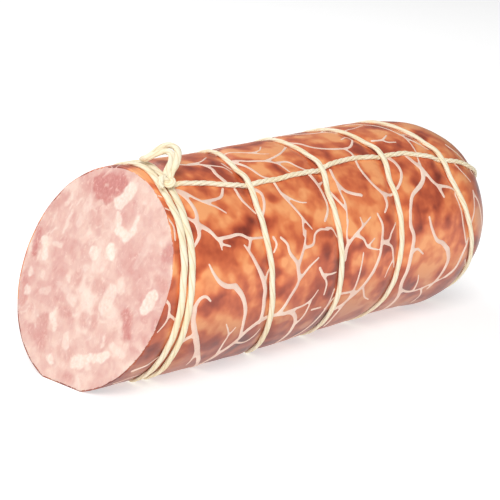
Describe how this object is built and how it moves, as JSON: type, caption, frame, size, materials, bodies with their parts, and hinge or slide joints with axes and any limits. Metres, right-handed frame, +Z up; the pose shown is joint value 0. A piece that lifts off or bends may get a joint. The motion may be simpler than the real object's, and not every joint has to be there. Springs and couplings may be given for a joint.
{
  "type": "tied ham sausage",
  "caption": "Thick cooked ham sausage, cut at one end, in a vein-patterned casing bound with cotton twine hoops, a lengthwise strand, a knot and a short hanging loop.",
  "frame": {"origin": "on the surface that the sausage lies on, below the middle of its length and width", "axes": "+X along the sausage from the cut face to the gathered end, -Y the front, +Z up"},
  "size_m": [0.2681, 0.0982, 0.1036],
  "materials": {
    "meat": "moist cut ham, pink lean pieces with cream fat",
    "casing": "smooth satin skin, mottled orange to red-brown",
    "veins": "pale dry veins lying on the skin",
    "twine": "matte cream cotton, laid in three strands"
  },
  "bodies": {
    "root": {"meat_filling": "meat", "casing": "casing", "end_hoop_outer": "twine", "end_hoop_inner": "twine", "hoop_2": "twine", "hoop_3": "twine", "hoop_4": "twine", "hoop_5": "twine", "front_strand": "twine", "back_strand": "twine", "neck_tie": "twine", "main_knot": "twine", "hanging_loop_outer": "twine", "hanging_loop_inner": "twine", "knot_tail": "twine"}
  },
  "joints": []
}
